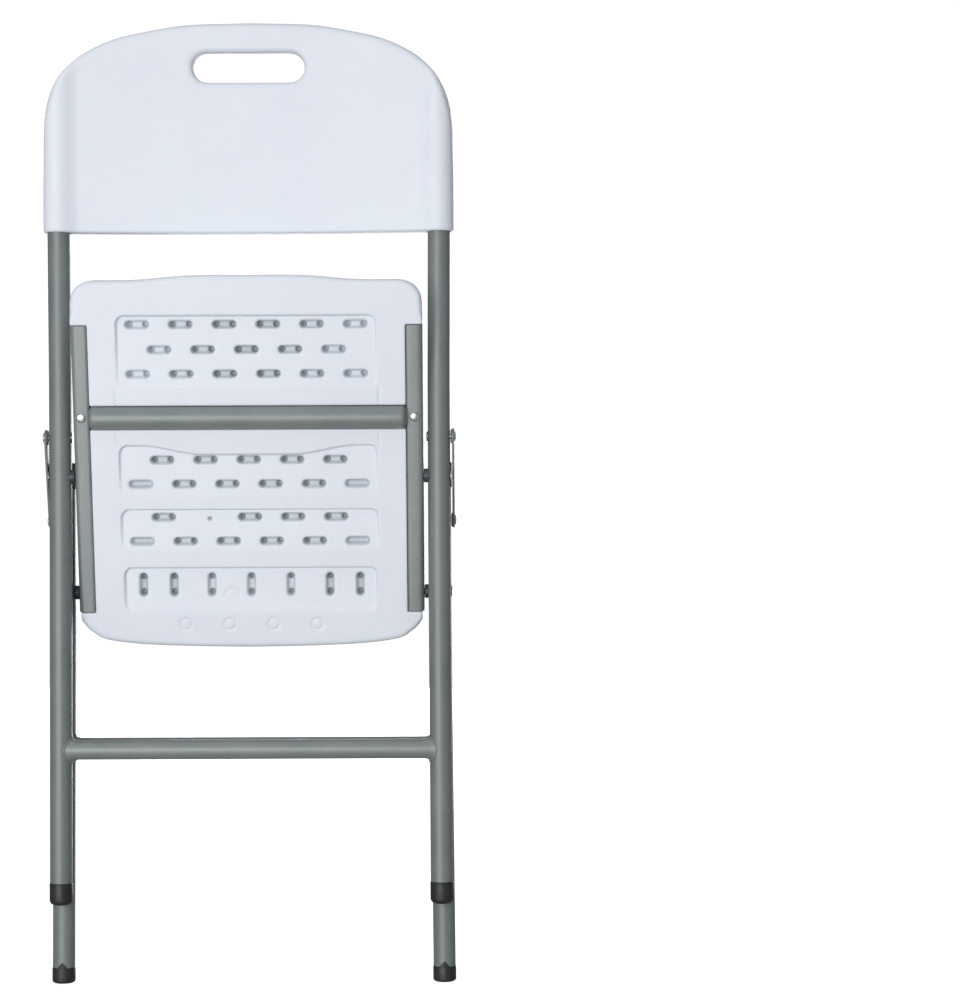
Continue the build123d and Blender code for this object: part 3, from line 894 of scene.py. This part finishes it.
ys = list(np.linspace(-146.7, 162.7, 20))
b.rings([rail_ring(cut_, -147.0)] + [rail_ring(out_, y) for y in ys] + [rail_ring(cut_, 163.0)] +
        [rail_ring(in_, 163.0)] + [rail_ring(in_, y) for y in ys[::-1][1:-1]] + [rail_ring(in_, -147.0)], closed=True)
both_sides(b, "seat_rail_tube", STEEL_PAINTED_LIGHTER, "seat", "seat_rail_left", "seat_rail_right")

b = Build()
seg = 72
a_ = 2 * np.pi * np.arange(seg) / seg


def cross_ring(x, ry, rz, zc=CROSS_Z):
    return seat_mm(np.stack([np.full(seg, x), CROSS_Y + ry * np.cos(a_), zc + rz * np.sin(a_)], 1))


prof = [(181.4, 7.8, 1.25, 6.3), (180.8, 8.1, 1.3, 6.3), (171.0, 8.2, 1.3, 6.3), (169.6, 8.6, 2.0, 6.6), (168.2, 9.6, 6.5, 8.0),
        (167.2, 11.0, 10.2, 9.0), (165.6, 11.8, 11.7, 9.4), (163.0, 12.0, 12.0, 9.5)]
rings = [cross_ring(-x, ry, rz, zc) for x, ry, rz, zc in prof]
rings += [cross_ring(x, 12.0, 12.0) for x in np.linspace(-150, 150, 21)]
rings += [cross_ring(x, ry, rz, zc) for x, ry, rz, zc in prof[::-1]]
b.rings(rings)
o = b.object("seat_cross_tube_bar", STEEL_PAINTED_LIGHTER, sharp=60)
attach(o, "seat")
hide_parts("seat_cross_tube")

# =====================================================================================================
# feet and caps
# =====================================================================================================


def direction(p, q):
    return np.array(q, float) - np.array(p, float)


b = Build()
h = FRONT_FOOT_H
lathe(b, [(0, -h)] + [(x, y) for x, y in arc(FOOT_R - 5.5, -h + 5.5, 5.5, -90, 0, 8)] +
      [(FOOT_R, -1.0), (FOOT_R - 0.35, -0.25), (FOOT_R - 0.8, 0.0), (10.3, 0.0), (10.2, 1.0), (10.75, 2.6), (10.75, 3.6), (10.2, 4.6), (10.2, 13.0),
       (9.2, 14.5), (0, 14.5)], FRONT[0], direction(FRONT[0], FRONT[1]), seg=64)
both_sides(b, "front_foot_plug", DARK, "front_frame", "front_foot_left", "front_foot_right")

b = Build()
h = REAR_FOOT_H
axis = direction(REAR[0], REAR[1])
lathe(b, [(0, -h)] + [(x, y) for x, y in arc(FOOT_R - 3.0, -h + 3.0, 3.0, -90, 0, 8)] +
      [(FOOT_R, -1.0), (FOOT_R - 0.3, -0.25), (FOOT_R - 0.7, 0.0), (10.3, 0.0), (10.2, 1.0), (10.75, 2.6), (10.75, 3.6), (10.2, 4.6), (10.2, 13.0),
       (9.2, 14.5), (0, 14.5)], REAR[0], axis, seg=64)
# pointed tab on the front of the foot, lying on the tube
d_, u_, v_ = frame_of(axis)
rings = []
for hh, w in [(-1.2, 26), (0.5, 25), (2.2, 19), (4.0, 11.5), (5.6, 5.0), (6.5, 0.8)]:
    q = np.radians(-90 + w * np.linspace(-1, 1, 9))
    outer = np.stack([np.cos(q), np.sin(q)], 1) * 12.55
    inner = (np.stack([np.cos(q), np.sin(q)], 1) * 11.95)[::-1]
    loop = np.concatenate([outer, inner])
    rings.append(np.array(REAR[0]) + np.stack([loop[:, 0], loop[:, 1], np.full(len(loop), hh)], 1))
b.rings(rings)
both_sides(b, "rear_foot_plug", DARK, "rear_legs", "rear_foot_left", "rear_foot_right")

b = Build()
t = REAR_TOP
lathe(b, [(12.02, -28.0), (12.6, -28.0), (12.9, -27.6), (12.95, -26.0)] + [(x, y) for x, y in arc(12.95 - 2.6, -2.6, 2.6, 0, 90, 7)] +
      [(4.0, 0.0), (0.05, 0.0), (0.05, -2.8), (4.0, -2.8), (12.02, -2.8)], (203.5, LEG_Y, t), (0, 0, 1), seg=64, closed=True)
both_sides(b, "rear_leg_cap_cover", DARK, "rear_legs", "rear_leg_cap_left", "rear_leg_cap_right")

# =====================================================================================================
# rivets, spacers, link plates, screws
# =====================================================================================================


def finish_pair(b, name, mat, body, node, sharp=38.0):
    b.mirrored()
    o = b.object(name, mat, sharp=sharp)
    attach(o, body)
    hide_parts(node)
    return o


def rivet(b, y, z, x0, x1, head_in, head_out, r, shank=3.0):
    lathe(b, [(0.05, 0.02), (shank, 0.02), (shank, x1 - x0 - 0.02), (0.05, x1 - x0 - 0.02)], (x0, y, z), (1, 0, 0), seg=32)
    if head_in:
        lathe(b, [(0.05, 0)] + dome(r, head_in, 0.0), (x0, y, z), (-1, 0, 0), seg=48)
    lathe(b, [(0.05, 0)] + dome(r, head_out, 0.0), (x1, y, z), (1, 0, 0), seg=48)


b = Build()
rivet(b, 0, Z_P1, 168.1, 215.0, 2.0, 1.6, 6.0)
finish_pair(b, "front_pivot_rivet_set", ZINC, "front_frame", "front_pivot_rivets")
b = Build()
rivet(b, LEG_Y, Z_P2, 168.1, 215.5, 2.0, 1.6, 6.0)
finish_pair(b, "rear_pivot_rivet_set", ZINC, "rear_legs", "rear_pivot_rivets")
b = Build()
rivet(b, 0, Z_L1, 191.0, 219.65, 1.8, 2.2, 5.5)
finish_pair(b, "link_upper_rivet_set", ZINC, "front_frame", "link_upper_rivets")
b = Build()
rivet(b, LEG_Y, Z_L2, 217.0, 219.5, 0, 2.2, 5.5)
finish_pair(b, "link_lower_rivet_set", ZINC, "side_links", "link_lower_rivets")

b = Build()
for side in (-1, 1):
    o3 = seat_mm(np.array([[side * 177.5, CROSS_Y, 9.5]]))[0]
    ax3 = seat_mm(np.array([[side * 177.5, CROSS_Y, 10.5]]))[0] - o3
    lathe(b, [(0.05, 0)] + dome(5.0, 2.0, 0.0), o3, ax3, seg=48)
    lathe(b, [(0.05, 0.05), (2.5, 0.05), (2.5, 4.4), (3.8, 4.5), (3.6, 6.0), (0.05, 6.1)], o3, -ax3, seg=32)
o = b.object("cross_tube_rivet_set", ZINC)
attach(o, "seat")
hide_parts("cross_tube_rivets")


def spacer(y0, z0, tube_x, r=7.5, x0=186.8):
    """Saddle spacer: a short moulded barrel, coped to the round tube on its outer side."""
    b = Build()
    seg = 56
    a = 2 * np.pi * np.arange(seg) / seg

    def ring(x, q):
        return np.stack([np.full(seg, x), y0 + q * np.cos(a), z0 + q * np.sin(a)], 1)

    def saddle(q, dx=0.0):
        y = q * np.cos(a)
        return np.stack([tube_x - np.sqrt(TUBE_R**2 - y**2) - dx, y0 + y, z0 + q * np.sin(a)], 1)

    rings = [ring(x0, 3.1), ring(x0, r - 0.8), ring(x0 + 0.25, r - 0.25), ring(x0 + 0.8, r), ring(x0 + 3.0, r), saddle(r, 0.05), saddle(3.1, 0.05)]
    b.rings(rings, closed=True)
    return b


finish_pair(spacer(0.0, Z_P1, 203.0), "front_pivot_spacer_set", NYLON, "front_frame", "front_pivot_spacers", sharp=50)
finish_pair(spacer(LEG_Y, Z_P2, 203.5), "rear_pivot_spacer_set", NYLON, "rear_legs", "rear_pivot_spacers", sharp=50)

# link plates: a flat stamping with rounded ends and edges
b = Build()
p_up, p_lo = np.array([0.0, Z_L1]), np.array([LEG_Y, Z_L2])
ld = (p_lo - p_up) / np.linalg.norm(p_lo - p_up)
ln = np.array([-ld[1], ld[0]])


def slot_ring(r, x):
    pts = []
    for c, s in ((p_lo, 1), (p_up, -1)):
        for i in range(25):
            w = math.radians(-90 + 180 * i / 24)
            e = c + s * (ld * math.cos(w) * r + ln * math.sin(w) * r)
            pts.append((x, e[0], e[1]))
    return np.array(pts)


b.rings([slot_ring(8.5 - 0.7, PLATE_X), slot_ring(8.5 - 0.2, PLATE_X + 0.2), slot_ring(8.5, PLATE_X + 0.7), slot_ring(8.5, PLATE_X + PLATE_T - 0.9),
         slot_ring(8.5 - 0.25, PLATE_X + PLATE_T - 0.25), slot_ring(8.5 - 0.9, PLATE_X + PLATE_T)])
# bosses pressed towards the tubes round both holes
lathe(b, [(3.1, 0.0), (3.1, -1.55), (6.4, -1.55), (7.0, -1.35), (7.9, -0.2), (8.1, 0.02), (8.1, 0.3), (3.1, 0.3)], (PLATE_X, 0.0, Z_L1), (1, 0, 0), seg=48, closed=True)
lathe(b, [(3.1, 0.0), (3.1, -1.2), (6.4, -1.2), (7.0, -1.0), (7.9, -0.2), (8.1, 0.02), (8.1, 0.3), (3.1, 0.3)], (PLATE_X, LEG_Y, Z_L2), (1, 0, 0), seg=48, closed=True)
both_sides(b, "link_plate_stamping", STEEL, "side_links", "link_plate_left", "link_plate_right")


# cross-recessed pan-head screws at the back of the sleeves
def screw_field(X, Y, Z):
    # y outwards
    r = np.sqrt(X**2 + Z**2)
    head = np.sqrt(r**2 + (Y + 2.75) ** 2) - 5.1
    head = smax(head, r - 4.2, 0.5)
    head = smax(head, -Y, 0.2)
    arm = np.minimum(np.maximum(np.abs(X) - 0.45, np.abs(Z) - 2.2), np.maximum(np.abs(Z) - 0.45, np.abs(X) - 2.2))
    cut = np.maximum(arm + 0.12 * (2.35 - Y), 1.1 - Y)
    d = smax(head, -cut, 0.15)
    shank = np.maximum(np.maximum(r - 1.85, Y - 0.6), -5.6 - Y)
    return np.minimum(d, shank)


verts, quads = surface_net(screw_field, (-4.8, -6.2, -4.8), (4.8, 3.0, 4.8), 0.28)
parts = []
b = Build()
for side in (-1, 1):
    b.add(verts + np.array([side * 204.3, 15.3, 829.0]), quads.tolist())
o = b.object("backrest_screw_set", ZINC, sharp=50)
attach(o, "front_frame")
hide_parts("backrest_screws")

# =====================================================================================================
# stage, light, camera
# =====================================================================================================


def studio_bowl():
    """Round floor that curves up into a wall all round, so that every view has the same plain ground."""
    prof = [(0.4, 0.0), (1.2, 0.0), (3.0, 0.0), (5.0, 0.0)]
    prof += [(5.0 + 2.0 * math.sin(math.radians(q)), 2.0 - 2.0 * math.cos(math.radians(q))) for q in range(9, 91, 9)]
    prof += [(7.0, 4.0), (7.0, 8.0)]
    seg = 72
    verts = [(0.0, 0.0, -0.0002)]
    for r, z in prof:
        verts += [(r * math.cos(2 * math.pi * k / seg), r * math.sin(2 * math.pi * k / seg), z - 0.0002) for k in range(seg)]
    faces = [(0, 1 + k, 1 + (k + 1) % seg) for k in range(seg)]
    for i in range(len(prof) - 1):
        o = 1 + i * seg
        faces += [(o + k, o + seg + k, o + seg + (k + 1) % seg, o + (k + 1) % seg) for k in range(seg)]
    return new_object("studio_floor", verts, faces, floor_mat)


fm = Mat("studio_paper")
paper = fm.noise(3.0, 2.0, 0.5)
pt = fm.ramp(paper, "Fac", [(0.3, (0.90, 0.90, 0.90)), (0.7, (0.92, 0.92, 0.92))])
fm.out_color((pt, "Color"))
fm.set(Roughness=0.9, Emission_Strength=0.74)
fm.bsdf.inputs["Emission Color"].default_value = (1.0, 1.0, 1.0, 1.0)
fm.bsdf.inputs["Specular IOR Level"].default_value = 0.0
floor_mat = fm.m
floor = studio_bowl()
floor.visible_diffuse = False
floor.visible_glossy = False
floor.visible_shadow = False

world = bpy.data.worlds.new("studio")
scene.world = world
world.use_nodes = True
bg = world.node_tree.nodes["Background"]
bg.inputs["Color"].default_value = (1.0, 1.0, 1.0, 1.0)
bg.inputs["Strength"].default_value = 0.29


def area(name, loc, aim, sx, sy, power, color=(1, 1, 1)):
    light = bpy.data.lights.new(name, "AREA")
    light.shape = "RECTANGLE"
    light.size, light.size_y = sx, sy
    light.energy = power
    light.color = color
    o = bpy.data.objects.new(name, light)
    o.location = loc
    d = Vector(aim) - Vector(loc)
    o.rotation_euler = d.to_track_quat("-Z", "Y").to_euler()
    scene.collection.objects.link(o)
    return o


area("overhead", (-0.2, -0.8, 2.7), (0.0, 0.0, 0.7), 2.2, 1.8, 10.0)
area("key_left", (-1.15, -3.5, 0.42), (0.0, 0.0, 0.52), 2.6, 2.2, 102.0)
area("fill_right", (2.4, -2.6, 0.4), (0.0, 0.0, 0.50), 2.4, 2.2, 6.0)
area("key_back", (0.6, 3.9, 0.75), (0.0, 0.0, 0.60), 2.6, 2.2, 108.0)

cam_data = bpy.data.cameras.new("camera")
cam_data.sensor_width = 36.0
cam_data.lens = 83.46
cam = bpy.data.objects.new("camera", cam_data)
cam.location = (0.2468, -2.5, 0.5179)
cam.rotation_euler = Euler((math.radians(90.0), math.radians(0.25), 0.0))
scene.collection.objects.link(cam)
scene.camera = cam
scene.view_settings.view_transform = "Standard"
scene.view_settings.look = "None"
